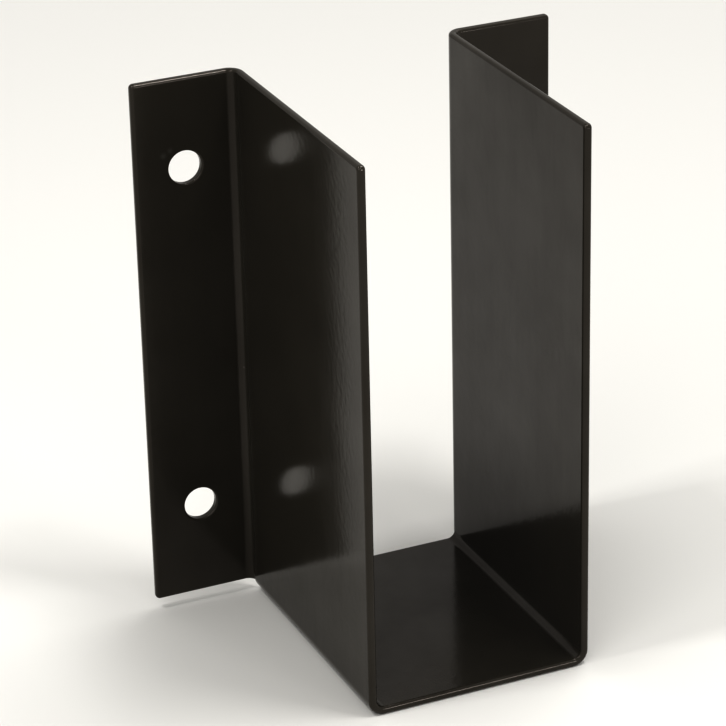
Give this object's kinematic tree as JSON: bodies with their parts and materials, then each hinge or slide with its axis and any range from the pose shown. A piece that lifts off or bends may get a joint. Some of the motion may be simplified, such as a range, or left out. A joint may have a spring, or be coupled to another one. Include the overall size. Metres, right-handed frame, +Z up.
{
  "type": "joist hanger",
  "caption": "Folded black steel joist hanger: a flat seat between upright side plates, with outward back flanges drilled for bolts.",
  "frame": {"origin": "under the middle of the seat's underside, halfway along the depth", "axes": "+Z up from the seat to the top edges; +Y from the open front, where the joist comes in, to the flanges' back faces on the header; +X to the right flange seen from the front"},
  "size_m": [0.0808, 0.0542, 0.1025],
  "materials": {
    "black_coat": "black satin-gloss powder coat over steel"
  },
  "bodies": {
    "root": {"hanger": "black_coat"}
  },
  "joints": []
}
